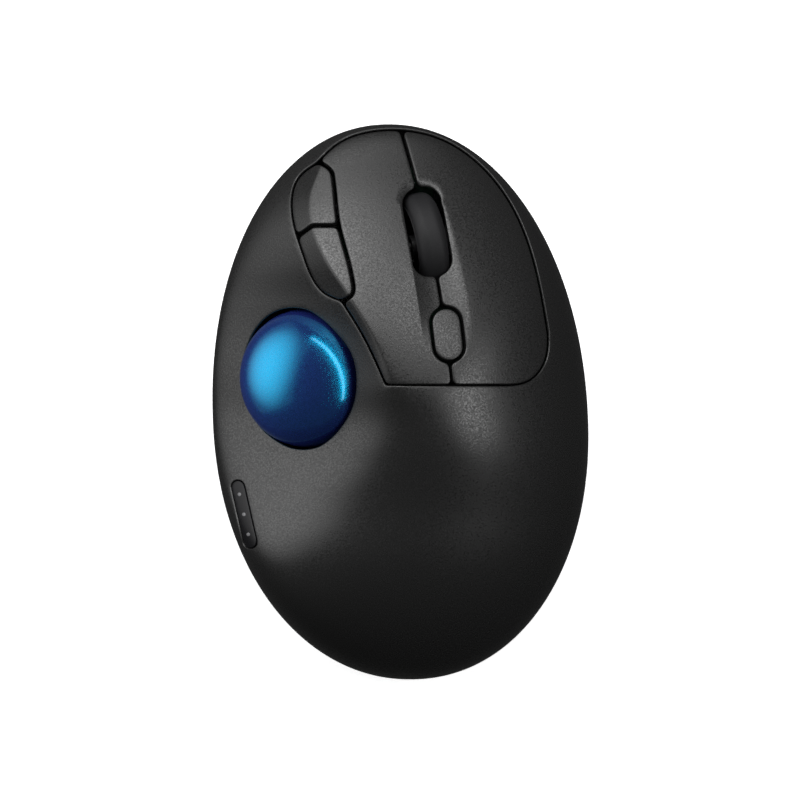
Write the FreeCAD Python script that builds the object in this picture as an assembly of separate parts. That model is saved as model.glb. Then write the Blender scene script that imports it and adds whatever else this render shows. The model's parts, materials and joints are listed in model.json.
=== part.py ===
"""Wireless thumb trackball for the right hand, as an assembly of separate pieces.

An egg-shaped casing leans down to the right and carries a 34 mm ball in its thumb slope. Two keys, two side
keys, a speed key and a scroll wheel sit in the front half; the base holds the battery, the receiver and the
switches. Millimetres, +X to the right, +Y to the front, +Z up, origin on the desk under the middle.
"""

import FreeCAD
import Part
import math
import os
from FreeCAD import Matrix, Vector

# ---- driving dimensions ------------------------------------------------------------------------------
HALF_WIDTH = 46.0          # plan outline: a skewed egg
FRONT_LENGTH = 72.4        # widest line to the nose
REAR_LENGTH = 63.6         # widest line to the heel
WIDEST_Y = -4.4
EGG_POWER = 2.08
SKEW = 0.038               # the nose leans to the left by this much per millimetre
RIM_Z = 11.0               # height of the widest line of the side wall
BASE_Z = 0.8               # underside of the base; the feet stand below it
TUCK = 5.0                 # how far the side wall tucks in between the rim and the base
CROWN_Z = 50.0
WALL = 2.2
FLOOR = 2.0
PARTING_Z = 7.0
JOINT_GAP = 0.1            # between the two casings
BALL_R = 17.0
BALL_C = Vector(-22.2, 5.9, 27.5)
BALL_TILT = 40.0           # the socket's axis leans this far to the left, in degrees
BALL_HOLE_R = 17.5
BEAD_R = 1.25              # the ceramic beads under the ball
BEAD_GAP = 0.05
BEAD_FALL = 112.0          # how far round from the socket's axis they lie, in degrees
CUP_R = 17.8
CUP_WALL = 2.2
WHEEL_R = 12.8
WHEEL_WIDTH = 7.3
WHEEL_C = Vector(5.6, 38.3, 28.3)
WHEEL_TURN = 9.7           # the wheel's plane turns to the left, in degrees
WHEEL_LEAN = 12.0          # and its top leans to the right
HUB_R = 9.8
AXLE_R = 1.2
BOARD_Z = 5.4              # underside of the main board
BOARD_T = 1.6
KEY_FLOOR_Z = 14.6         # lowest edge of the keys' skirts
WINDOW_FLOOR_Z = 13.0      # and of the window they sit in
CELL_R = 7.25              # AA cell
CELL_LENGTH = 50.5
CELL_X = 17.0
CELL_Z = 10.2
CELL_Y0 = -46.5
DOOR_HALF = 0.8            # half the battery door's thickness; its round front edge turns on two pins
DOOR_AXIS_Y = 4.4
DOOR_AXIS_Z = BASE_Z + 0.9
FAR = 90.0                 # well outside the casing

PARTS = "parts"


# ---- the casing's surface ----------------------------------------------------------------------------
def through(points):
    """A smooth function of one value through (value, result) points."""
    points = sorted(points)
    xs = [p[0] for p in points]
    ys = [p[1] for p in points]
    steps = [(ys[i + 1] - ys[i]) / (xs[i + 1] - xs[i]) for i in range(len(xs) - 1)]
    inner = [(steps[i] + steps[i + 1]) / 2 for i in range(len(steps) - 1)]
    slopes = [steps[0]] + inner + [steps[-1]]

    def value(x):
        x = min(max(x, xs[0]), xs[-1])
        i = max(k for k in range(len(xs) - 1) if xs[k] <= x)
        h = xs[i + 1] - xs[i]
        t = (x - xs[i]) / h
        a = ys[i] * (1 + 2 * t) * (1 - t) ** 2 + ys[i + 1] * t * t * (3 - 2 * t)
        return a + h * (slopes[i] * t * (1 - t) ** 2 - slopes[i + 1] * t * t * (1 - t))

    return value


# The crest runs back from the nose between the keys and the thumb slope. Points are (y, x), (y, softness)
# and (y, share of the thumb slope's fall).
crest_x = through([(68, -17), (57.5, -19.6), (50, -22), (42, -21.3), (34, -17.9), (25, -12.1), (15, -6.3),
                   (5, -2.5), (-5, -0.8), (-13, -2.8), (-22, -7.5), (-36, -14), (-66, -26)])
crest_blend = through([(68, 0.5), (24, 0.6), (10, 1.5), (0, 3), (-12, 6), (-30, 14), (-66, 25)])
crest_share = through([(68, 1), (10, 1), (-4, 1), (-20, 0.9), (-40, 0.45), (-66, 0.1)])
THUMB_FALL = 52.0
THUMB_REACH = 50.0
INNER_BLEND = 3.0          # the inside of the casing is smoother than the outside


def smoothstep(t):
    t = min(max(t, 0.0), 1.0)
    return t * t * (3 - 2 * t)


def split_x(y):
    """Where the two keys meet, and the middle of the wheel's channel."""
    return 13.0 - 0.085 * y - 0.00163 * y * y


def crown(x, y):
    """The top before the thumb slope and the side walls are taken from it."""
    ahead = y + 14.0
    fall = 0.0038 * ahead * ahead if ahead > 0 else 0.004 * ahead * ahead
    return CROWN_Z - fall - 0.16 * x - 0.004 * x * x


def channel(x, y):
    """Depth of the shallow channel round the wheel and the speed key."""
    front_y, half = 48.3, 5.7
    if y > front_y:
        outside = math.hypot(x - split_x(front_y), y - front_y) - half
    else:
        outside = abs(x - split_x(y)) - half - 0.05 * (front_y - y)
    flank = 1.2 + 0.07 * max(0.0, front_y - y)
    return 1.3 * smoothstep((y + 4) / 26) * smoothstep(-outside / flank)


def casing_z(x, y, inset=0.0):
    """Height of the casing's surface over (x, y), inset millimetres inside its outer skin."""
    v = y - WIDEST_Y
    across = (x + SKEW * v) / (HALF_WIDTH - inset)
    along = v / ((FRONT_LENGTH if v > 0 else REAR_LENGTH) - inset)
    share = (abs(across) ** EGG_POWER + abs(along) ** EGG_POWER) ** (1 / EGG_POWER)
    size = math.hypot(across, along) or 1.0
    power = 2.6 + 5.0 * max(0.0, along / size) ** 2 + 3.4 * max(0.0, -across / size) ** 2
    blend = crest_blend(y) + (INNER_BLEND if inset else 0.0)
    away = crest_x(y) - x
    ramp = (away + math.sqrt(away * away + 4 * blend * blend)) / 2
    top = crown(x, y) - THUMB_FALL * (1 - math.exp(-ramp / THUMB_REACH)) * crest_share(y)
    if inset:
        top -= 1.15 * inset
        power = min(power, 3.6)
    z = RIM_Z + (top - RIM_Z) * max(0.0, 1 - min(share, 1.0) ** power) ** (1 / power)
    return z if inset else z - channel(x, y)


def rim_point(angle, inset):
    """A point of the egg's outline, by angle round it."""
    c, s = math.cos(angle), math.sin(angle)
    length = (FRONT_LENGTH if s > 0 else REAR_LENGTH) - inset
    v = math.copysign(abs(s) ** (2 / EGG_POWER), s) * length
    x = math.copysign(abs(c) ** (2 / EGG_POWER), c) * (HALF_WIDTH - inset) - SKEW * v
    return x, v + WIDEST_Y


SUMMIT = (8.0, -22.0)      # where the surface's lines meet, on the smooth palm
RAYS = 132
SHARES = [0, 0.07, 0.14, 0.21, 0.28, 0.35, 0.42, 0.49, 0.56, 0.62, 0.68, 0.74, 0.8, 0.85, 0.895, 0.93,
          0.958, 0.978, 0.991, 1]
UNDER_STEPS = 6


def skin(inset, bottom_z):
    """The closed solid under the casing's surface, down to a flat bottom."""
    rows = [[] for _ in range(len(SHARES) + UNDER_STEPS)]
    for i in range(RAYS):
        rx, ry = rim_point(2 * math.pi * i / RAYS - math.pi / 2, inset)
        dx, dy = rx - SUMMIT[0], ry - SUMMIT[1]
        reach = math.hypot(dx, dy)
        for row, share in zip(rows, SHARES):
            x, y = SUMMIT[0] + share * dx, SUMMIT[1] + share * dy
            row.append(Vector(x, y, casing_z(x, y, inset)))
        for k in range(UNDER_STEPS):
            down = (k + 1) / UNDER_STEPS
            z = RIM_Z + (bottom_z - RIM_Z) * down
            tuck = TUCK * ((RIM_Z - z) / (RIM_Z - BASE_Z)) ** 2
            share = 1 - tuck / reach
            rows[len(SHARES) + k].append(Vector(SUMMIT[0] + share * dx, SUMMIT[1] + share * dy, z))
    poles = [[row[i] for row in rows] for i in range(RAYS)]
    surface = Part.BSplineSurface()
    spans = len(rows) - 3
    surface.buildFromPolesMultsKnots(poles, [1] * (RAYS + 1), [4] + [1] * (spans - 1) + [4],
                                     list(range(RAYS + 1)), list(range(spans + 1)), True, False, 3, 3)
    side = surface.toShape()
    foot = [e for e in side.Edges if e.BoundBox.ZMax < bottom_z + 0.01]
    shell = Part.Shell([side, Part.Face(Part.Wire(foot))])
    shell.sewShape()
    return Part.makeSolid(shell)


# ---- small helpers -----------------------------------------------------------------------------------
def box(x0, x1, y0, y1, z0, z1):
    return Part.makeBox(x1 - x0, y1 - y0, z1 - z0, Vector(x0, y0, z0))


def rod(r, start, direction, length):
    return Part.makeCylinder(r, length, Vector(start), Vector(direction))


def post(r, x, y, z0, z1):
    return rod(r, Vector(x, y, z0), Vector(0, 0, 1), z1 - z0)


def joined(shapes):
    """One solid from overlapping shapes."""
    return shapes[0].multiFuse(shapes[1:]).removeSplitter() if len(shapes) > 1 else shapes[0]


def biggest(shape):
    return max(shape.Solids, key=lambda s: s.Volume)


def outline(runs):
    """A flat face bounded by runs of points: two points are a straight line, more are a smooth curve."""
    edges = []
    for run in runs:
        points = [Vector(x, y, 0) for x, y in run]
        if len(points) == 2:
            edges.append(Part.makeLine(points[0], points[1]))
        else:
            curve = Part.BSplineCurve()
            curve.interpolate(points)
            edges.append(curve.toShape())
    return Part.Face(Part.Wire(edges))


def shifted(face, distance):
    """A flat face grown by a distance, or shrunk by a negative one."""
    return face.makeOffset2D(distance).Faces[0].toNurbs().Faces[0]


def column(face, z0=-5.0, z1=FAR):
    """A flat face drawn up between two heights."""
    low = face.copy()
    low.translate(Vector(0, 0, z0))
    return low.extrude(Vector(0, 0, z1 - z0))


def stadium(x, y, half_width, half_length, turn):
    """A flat slot with round ends, its long way along Y, turned to the left by turn degrees."""
    run = half_length - half_width
    ends = [Part.Arc(Vector(half_width, run, 0), Vector(0, half_length, 0), Vector(-half_width, run, 0)),
            Part.Arc(Vector(-half_width, -run, 0), Vector(0, -half_length, 0), Vector(half_width, -run, 0))]
    edges = [ends[0].toShape(), Part.makeLine(Vector(-half_width, run, 0), Vector(-half_width, -run, 0)),
             ends[1].toShape(), Part.makeLine(Vector(half_width, -run, 0), Vector(half_width, run, 0))]
    face = Part.Face(Part.Wire(edges))
    face.rotate(Vector(0, 0, 0), Vector(0, 0, 1), turn)
    face.translate(Vector(x, y, 0))
    return face


def rounded_slot(x, y, half_width, half_length, radius, turn):
    """A flat rounded rectangle, turned to the left."""
    core = Part.makePlane(2 * (half_width - radius), 2 * (half_length - radius),
                          Vector(radius - half_width, radius - half_length, 0))
    face = core.makeOffset2D(radius)
    face.rotate(Vector(0, 0, 0), Vector(0, 0, 1), turn)
    face.translate(Vector(x, y, 0))
    return face


def placed(shape, origin, ex, ey, ez):
    """A shape drawn in a local frame, set at origin with the three unit axes."""
    out = shape.copy()
    out.Placement = FreeCAD.Placement(Matrix(ex.x, ey.x, ez.x, origin.x, ex.y, ey.y, ez.y, origin.y,
                                             ex.z, ey.z, ez.z, origin.z, 0, 0, 0, 1))
    return out


NODES = {}


def keep(name, shape):
    """Names a finished piece."""
    NODES[name] = shape


# ---- outlines seen from above ------------------------------------------------------------------------
REAR_SEAM_Y = 3.9
NOSE_RUN = [(-20.6, 58.4), (-14.8, 63.7), (-7.9, 66.2), (0, 66.7), (9, 64.9), (18.4, 59.2), (27.8, 47.3),
            (33.4, 31.8), (36.2, 16.8)]
HEEL_CORNER = [(36.2, 16.8), (34.9, 8.3), (27.1, REAR_SEAM_Y)]
THUMB_SEAM = [(-3.8, REAR_SEAM_Y), (-9.6, 16.3), (-14.6, 24.4)]
SIDE_RUN = [(-14.6, 24.4), (-18.2, 25.9), (-24, 35.9), (-26.8, 47.9), (-25.1, 54.8), (-20.6, 58.4)]
SIDE_INNER_RUN = [(-20.6, 58.4), (-17.0, 56.2), (-15.9, 52), (-14.6, 42), (-12.4, 32.7), (-11.6, 28.2),
                  (-12.6, 25.2), (-14.6, 24.4)]
FIELD = outline([NOSE_RUN, HEEL_CORNER, [HEEL_CORNER[-1], THUMB_SEAM[0]], THUMB_SEAM, SIDE_RUN])
SIDE = outline([SIDE_RUN, SIDE_INNER_RUN])
KEY_GAP = 0.35             # round the main keys
SIDE_KEY_GAP = 0.3
SIDE_INNER_GAP = 0.55
SPLIT_HALF = 0.4
SLOT = rounded_slot(6.4, 41.4, 4.6, 10.9, 3.9, 10.0)
SPEED_X, SPEED_Y, SPEED_TURN = 11.5, 16.4, 6.8
SPEED_HALF_W, SPEED_HALF_L = 3.3, 6.3
SPEED_GAP = 0.7
LENS_X, LENS_Y, LENS_TURN = -38.2, -27.4, 13.0
LENS_HALF_W, LENS_HALF_L = 1.7, 8.6
LENS_GAP = 0.12
SIDE_CUT_X, SIDE_CUT_Y = -21.4, 42.9      # the cut between the side keys bends here, on the crest
SIDE_CUT_SLOPE = 0.72                     # and runs down the outer facet
SIDE_CUT_HALF = 0.4


def half_plane(side):
    """The ground left (-1) or right (+1) of the line between the keys."""
    ys = [-20, 4, 20, 36, 52, 68, 84]
    line = [(split_x(y) + side * SPLIT_HALF, y) for y in ys]
    far = side * FAR
    front, rear = (far, ys[-1]), (far, ys[0])
    return outline([line, [line[-1], front], [front, rear], [rear, line[0]]])


def side_ground(way):
    """The ground ahead of (+1) or behind (-1) the bent cut between the two side keys."""
    bend_y = SIDE_CUT_Y + way * SIDE_CUT_HALF
    left, far_y = -2 * FAR, way * 4 * FAR
    low_y = bend_y - SIDE_CUT_SLOPE * (SIDE_CUT_X - left)
    corners = [(left, low_y), (SIDE_CUT_X, bend_y), (FAR, bend_y), (FAR, far_y), (left, far_y)]
    return outline([[a, b] for a, b in zip(corners, corners[1:] + corners[:1])])


# ---- local frames ------------------------------------------------------------------------------------
def wheel_axes():
    """Unit vectors along the axle (to the right), forward in the wheel's plane, and up in it."""
    turn, lean = math.radians(WHEEL_TURN), math.radians(WHEEL_LEAN)
    forward = Vector(-math.sin(turn), math.cos(turn), 0)
    right = Vector(math.cos(turn), math.sin(turn), 0)
    up = right * math.sin(lean) + Vector(0, 0, 1) * math.cos(lean)
    return forward.cross(up), forward, up


AXLE, WHEEL_FORWARD, WHEEL_UP = wheel_axes()
BALL_AXIS = Vector(-math.sin(math.radians(BALL_TILT)), 0, math.cos(math.radians(BALL_TILT)))
SENSOR_DIP = 35.0          # the sensor looks at the ball from the right and this far below level
SENSOR_DIR = Vector(math.cos(math.radians(SENSOR_DIP)), 0, -math.sin(math.radians(SENSOR_DIP)))


def by_wheel(shape):
    return placed(shape, WHEEL_C, AXLE, WHEEL_FORWARD, WHEEL_UP)


def by_sensor(shape):
    """Local Z points from the ball's centre to the sensor."""
    return placed(shape, BALL_C, Vector(0, 1, 0).cross(SENSOR_DIR), Vector(0, 1, 0), SENSOR_DIR)


def side_axes():
    """Along the crest, outward across the side keys, and the way they are pressed."""
    along = Vector(-0.12, 0.91, -0.39).normalize()
    press = Vector(0.6, 0, -0.8)
    press = (press - along * press.dot(along)).normalize()
    return along.cross(press), along, press


SIDE_OUT, SIDE_ALONG, SIDE_PRESS = side_axes()
SIDE_ORIGIN = Vector(-20.6, 49.6, casing_z(-20.6, 49.6))
SIDE_KEYS = {"forward": 0.0, "back": -15.6}      # how far along the crest each key's middle lies
SIDE_SWITCH = 11.4         # depth of the side switches' tops under the skin, along the press
SIDE_SHIFT = 1.6           # and how far they and the stems over them stand to the left
SIDE_BOARD = SIDE_SWITCH + 3.2


def by_side_key(shape, name):
    """Local Z is the way the key is pressed, from the skin inward."""
    return placed(shape, SIDE_ORIGIN + SIDE_ALONG * SIDE_KEYS[name], SIDE_OUT, SIDE_ALONG, SIDE_PRESS)


# ---- places of the fasteners and feet ----------------------------------------------------------------
CASE_SCREWS = [(-31.0, 34.0), (35.5, -2.0), (30.2, -40.0), (-20.0, -46.0)]
FEET = {"foot_left_front": (-31.0, 34.0), "foot_right_front": (21.0, 46.5), "foot_right": (35.5, -2.0),
        "foot_right_rear": (30.2, -40.0), "foot_left_rear": (-20.0, -46.0), "foot_left": (-35.8, -9.0)}
FOOT_R = 4.4
FOOT_RECESS = 0.5
BOARD_SCREWS = [(30.0, 13.0), (1.5, 53.5), (24.5, 44.5)]
SPEED_POSTS = [(17.3, 10.9), (7.3, 20.9)]
SPEED_BOARD_Z = 28.6
HINGES = {"left": (39.2, (0.0, 8.2)), "right": (34.2, (16.8, 24.6))}    # the axis's height, the arms' X
HINGE_Y = -1.0
ARM_HALF = 1.8
SWITCHES = {"left": (-7.6, 54.4), "right": (14.6, 52.2)}
SWITCH_TOP_Z = BOARD_Z + BOARD_T + 6.5
PLUNGER_TOP_Z = SWITCH_TOP_Z + 1.1
EJECT_HOLE_R = 5.0
POWER_XY = (-4.0, 44.0)
PAIR_XY = (9.5, 42.0)
SPEED_STEM_Z = SPEED_BOARD_Z + 1.2 + 4.2 + 0.6    # above the board, the switch and the key's travel


# ---- casings -----------------------------------------------------------------------------------------
def make_top_shell(outer, inner):
    """Palm and thumb casing: key window, ball opening, lens slot, screw bosses and hinge ears."""
    inside = []
    for x, y in CASE_SCREWS:
        inside.append(post(3.0, x, y, PARTING_Z, FAR))
    for z, arms in HINGES.values():
        for arm in arms:
            for side in (-1, 1):
                ear = arm + side * (ARM_HALF + 1.0)
                inside.append(box(ear - 0.65, ear + 0.65, HINGE_Y - 2.4, HINGE_Y + 2.4, z - 2.2, FAR))
    shell = outer.cut(inner.cut(joined(inside)))
    cuts = [box(-FAR, FAR, -FAR, FAR, -5, PARTING_Z + JOINT_GAP), column(FIELD, WINDOW_FLOOR_Z),
            rod(BALL_HOLE_R, BALL_C - BALL_AXIS * 3, BALL_AXIS, 50),
            column(stadium(LENS_X, LENS_Y, LENS_HALF_W, LENS_HALF_L, LENS_TURN), RIM_Z)]
    for x, y in CASE_SCREWS:
        cuts.append(post(1.05, x, y, 0, 16.0))
    for z, arms in HINGES.values():
        cuts.append(rod(1.3, Vector(arms[0] - 3.6, HINGE_Y, z), Vector(1, 0, 0), arms[1] - arms[0] + 7.2))
    for cut in cuts:
        shell = shell.cut(cut)
    keep("top_shell", biggest(shell))


def battery_bay():
    """Walls of the battery's and the receiver's pockets, and the lid over the door's spare corner."""
    return [box(8.0, 26.0, -50.3, 6.2, FLOOR, 19.0), box(0.4, 9.0, -47.2, -25.4, FLOOR, 19.0),
            box(0.4, 9.0, -26.0, 6.2, BASE_Z + 1.8, BASE_Z + 3.0)]


def bay_space():
    """The two pockets."""
    return [box(9.2, 24.8, -49.1, 5.0, 0, 17.9), box(1.6, 8.2, -46.0, -26.6, 0, 17.7)]


def make_bottom_shell(outer, inner):
    """Base tray: battery bay, posts, screw sleeves, recesses for the feet and the control openings."""
    tray = outer.common(box(-FAR, FAR, -FAR, FAR, -5, PARTING_Z)).cut(inner)
    start = BASE_Z + FLOOR - 0.8
    adds = battery_bay()
    adds += [post(3.8, x, y, start, PARTING_Z) for x, y in CASE_SCREWS]
    adds += [post(2.6, x, y, start, BOARD_Z) for x, y in BOARD_SCREWS]
    adds += [post(2.2, x, y, start, SPEED_BOARD_Z) for x, y in SPEED_POSTS]
    side_rib = box(-12.8, -9.8, 37.0, 45.0, start, 40)
    sensor_rib = box(-4.0, 2.0, 4.0, 8.0, start, 13.5)
    adds.append(side_rib.common(by_side_key(box(-40, 40, -60, 60, SIDE_BOARD + 1.25, 60), "forward")))
    adds.append(biggest(sensor_rib.common(by_sensor(box(-60, 60, -60, 60, 25.25, 90)))))
    rim_guard = outer.common(box(-FAR, FAR, -FAR, FAR, -5, 30))
    tray = tray.multiFuse([rim_guard.common(a) for a in adds])
    cuts = bay_space() + [box(1.2, 25.2, -49.5, 5.4, 0, BASE_Z + 1.8)]
    cuts.append(rod(0.53, Vector(0.4, DOOR_AXIS_Y, DOOR_AXIS_Z), Vector(1, 0, 0), 25.6))
    for x, y in CASE_SCREWS:
        cuts += [post(2.6, x, y, 0, 3.4), post(1.4, x, y, 0, 10)]
    cuts += [post(0.95, x, y, BASE_Z + FLOOR, 10) for x, y in BOARD_SCREWS]
    cuts += [post(FOOT_R + 0.2, x, y, 0, BASE_Z + FOOT_RECESS) for x, y in FEET.values()]
    cuts += [post(EJECT_HOLE_R, BALL_C.x, BALL_C.y, 0, 4), post(2.7, *PAIR_XY, 0, 4)]
    px, py = POWER_XY
    cuts.append(box(px - 2.25, px + 2.25, py - 4.6, py + 4.6, 0, 4))
    keep("bottom_shell", biggest(tray.cut(joined(cuts))))


def make_controls_below():
    """Power slider, pairing button and their switches under the main board."""
    px, py = POWER_XY
    y0 = py - 4.4
    slider = box(px - 2.05, px + 2.05, y0, y0 + 5.8, BASE_Z + 0.1, BASE_Z + FLOOR + 0.3)
    flange = box(px - 3.4, px + 3.4, y0 - 0.8, y0 + 6.6, BASE_Z + FLOOR + 0.1, BASE_Z + FLOOR + 0.8)
    slider = slider.fuse(flange)
    for k in range(3):
        groove_y = y0 + 1.4 + 1.5 * k
        slider = slider.cut(rod(0.35, Vector(px - 3, groove_y, BASE_Z + 0.1), Vector(1, 0, 0), 6))
    keep("power_slider", slider.removeSplitter())
    keep("power_switch", box(px - 2.0, px + 2.0, py - 4.4, py + 4.4, BASE_Z + FLOOR + 1.0, BOARD_Z))
    x, y = PAIR_XY
    button = joined([post(2.5, x, y, BASE_Z + 0.3, BASE_Z + FLOOR + 0.2),
                     post(3.5, x, y, BASE_Z + FLOOR + 0.15, BASE_Z + FLOOR + 0.65)])
    keep("pairing_button", button)
    keep("pairing_switch", joined([box(x - 2.6, x + 2.6, y - 2.6, y + 2.6, BOARD_Z - 1.1, BOARD_Z),
                                   post(1.2, x, y, BOARD_Z - 1.5, BOARD_Z - 1.0)]))


def make_feet_and_screws():
    for name, (x, y) in FEET.items():
        keep(name, post(FOOT_R, x, y, 0, BASE_Z + FOOT_RECESS))
    screws = []
    for x, y in CASE_SCREWS:
        screw = joined([post(2.3, x, y, 1.5, 3.3), post(1.0, x, y, 3.2, 14.0)])
        screws.append(screw.cut(post(0.9, x, y, 0, 2.4)))
    keep("case_screws", Part.makeCompound(screws))
    top = BOARD_Z + BOARD_T
    screws = []
    for x, y in BOARD_SCREWS:
        screw = joined([post(1.9, x, y, top, top + 1.3), post(0.9, x, y, BASE_Z + FLOOR + 0.2, top + 0.1)])
        screws.append(screw.cut(box(x - 1.5, x + 1.5, y - 0.25, y + 0.25, top + 0.7, top + 2)))
    keep("board_screws", Part.makeCompound(screws))


# ---- keys --------------------------------------------------------------------------------------------
def make_keys(outer, inner):
    """The two main keys: skin plates with a post over each switch and hinge arms under the palm."""
    field = column(shifted(FIELD, -KEY_GAP), KEY_FLOOR_Z)
    side_clear = column(shifted(SIDE, SIDE_INNER_GAP), WINDOW_FLOOR_Z)
    speed_clear = column(stadium(SPEED_X, SPEED_Y, SPEED_HALF_W + SPEED_GAP, SPEED_HALF_L + SPEED_GAP,
                                 SPEED_TURN))
    wheel_space = by_wheel(rod(WHEEL_R + 0.5, Vector(-WHEEL_WIDTH / 2 - 0.6, 0, 0), Vector(1, 0, 0),
                               WHEEL_WIDTH + 1.2))
    for side, name in ((-1, "left"), (1, "right")):
        z, arms = HINGES[name]
        sx, sy = SWITCHES[name]
        inside = [box(sx - 2, sx + 2, sy - 2, sy + 2, PLUNGER_TOP_Z, FAR)]
        inside += [box(a - ARM_HALF, a + ARM_HALF, 5.0, 7.6, z - 0.8, FAR) for a in arms]
        block = field.common(column(half_plane(side), KEY_FLOOR_Z)).cut(side_clear)
        block = block.cut(column(SLOT)).cut(speed_clear).common(outer)
        key = biggest(block.cut(inner.cut(joined(inside))).cut(wheel_space))
        for a in arms:
            arm = box(a - ARM_HALF, a + ARM_HALF, HINGE_Y, 7.0, z - 0.8, z + 0.8)
            pin = rod(1.2, Vector(a - ARM_HALF - 1.6, HINGE_Y, z), Vector(1, 0, 0), 2 * ARM_HALF + 3.2)
            key = key.fuse(arm).fuse(pin)
        keep(name + "_button", biggest(key.removeSplitter()))
    area = column(shifted(SIDE, -SIDE_KEY_GAP), KEY_FLOOR_Z).common(outer)
    for name, way in (("forward", 1), ("back", -1)):
        block = area.common(column(side_ground(way)))
        stem = by_side_key(rod(1.5, Vector(SIDE_SHIFT, 0, 0), Vector(0, 0, 1), SIDE_SWITCH - 1.4), name)
        key = biggest(block.cut(inner)).fuse(stem.common(outer))
        keep(name + "_button", biggest(key.removeSplitter()))


def make_speed_key(outer):
    """Oval key with a retaining flange under the main keys and a stem over its switch."""
    pill = stadium(SPEED_X, SPEED_Y, SPEED_HALF_W, SPEED_HALF_L, SPEED_TURN)
    rim = stadium(SPEED_X, SPEED_Y, SPEED_HALF_W + 1.6, SPEED_HALF_L + 1.6, SPEED_TURN)
    low = min(casing_z(SPEED_X + 5.5, SPEED_Y + dy, WALL) for dy in (-6, 8)) - 1.3
    cap = column(pill, low).common(outer)
    cap.translate(Vector(0, 0, 0.25))
    stem = post(1.8, SPEED_X, SPEED_Y, SPEED_STEM_Z, low + 1)
    keep("speed_button", joined([cap, column(rim, low, low + 0.8), stem]))


# ---- ball, socket and sensor -------------------------------------------------------------------------
def make_ball_group(inner):
    keep("trackball", Part.makeSphere(BALL_R, BALL_C))
    sphere = Part.makeSphere(CUP_R + CUP_WALL, BALL_C)
    legs = [post(2.2, x, y, BASE_Z + FLOOR, 15.0) for x, y in ((-34.0, 0.0), (-12.5, -5.5), (-20.0, 20.5))]
    cup = joined([sphere] + legs).common(inner)
    cup = cup.cut(Part.makeSphere(CUP_R, BALL_C))
    cup = cup.cut(rod(40, BALL_C + BALL_AXIS * 2.5, BALL_AXIS, 40))
    cup = cup.cut(post(EJECT_HOLE_R, BALL_C.x, BALL_C.y, 0, 15))
    cup = cup.cut(rod(3.6, BALL_C, SENSOR_DIR, 30))
    e1 = Vector(0, 1, 0)
    e2 = BALL_AXIS.cross(e1)
    down = math.radians(BEAD_FALL)
    for k, name in enumerate(("support_bead_left", "support_bead_rear", "support_bead_front")):
        turn = math.radians(90 + 120 * k)
        way = BALL_AXIS * math.cos(down) + (e1 * math.cos(turn) + e2 * math.sin(turn)) * math.sin(down)
        centre = BALL_C + way * (BALL_R + BEAD_GAP + BEAD_R)
        cup = cup.cut(Part.makeSphere(BEAD_R, centre))
        keep(name, Part.makeSphere(BEAD_R, centre))
    keep("ball_cup", biggest(cup))
    keep("sensor_lens", by_sensor(joined([rod(3.3, Vector(0, 0, 18.3), Vector(0, 0, 1), 2.4),
                                          box(-4.2, 4.2, -4.2, 4.2, 20.4, 21.6)])))
    keep("sensor_chip", by_sensor(box(-4.5, 4.5, -4.5, 4.5, 21.6, 24.0)))
    keep("sensor_board", by_sensor(box(-7.0, 7.0, -8.0, 8.0, 24.0, 25.2)))


def make_sensor_cable():
    """Flat ribbon from the sensor board down to the main board."""
    start = BALL_C + SENSOR_DIR * 25.45 - Vector(0, 1, 0).cross(SENSOR_DIR) * 4.5
    top = BOARD_Z + BOARD_T
    lane = [(start.x, start.z), (start.x + 2.4, start.z - 1.0), (7.4, top + 0.6), (8.2, top + 0.02),
            (10.5, top + 0.02)]
    ribbon = [(x, z + 0.3) for x, z in reversed(lane)]
    loop = [Vector(x, 9.2, z) for x, z in lane + ribbon + lane[:1]]
    keep("sensor_cable", Part.Face(Part.makePolygon(loop)).extrude(Vector(0, 4.4, 0)))


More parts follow.
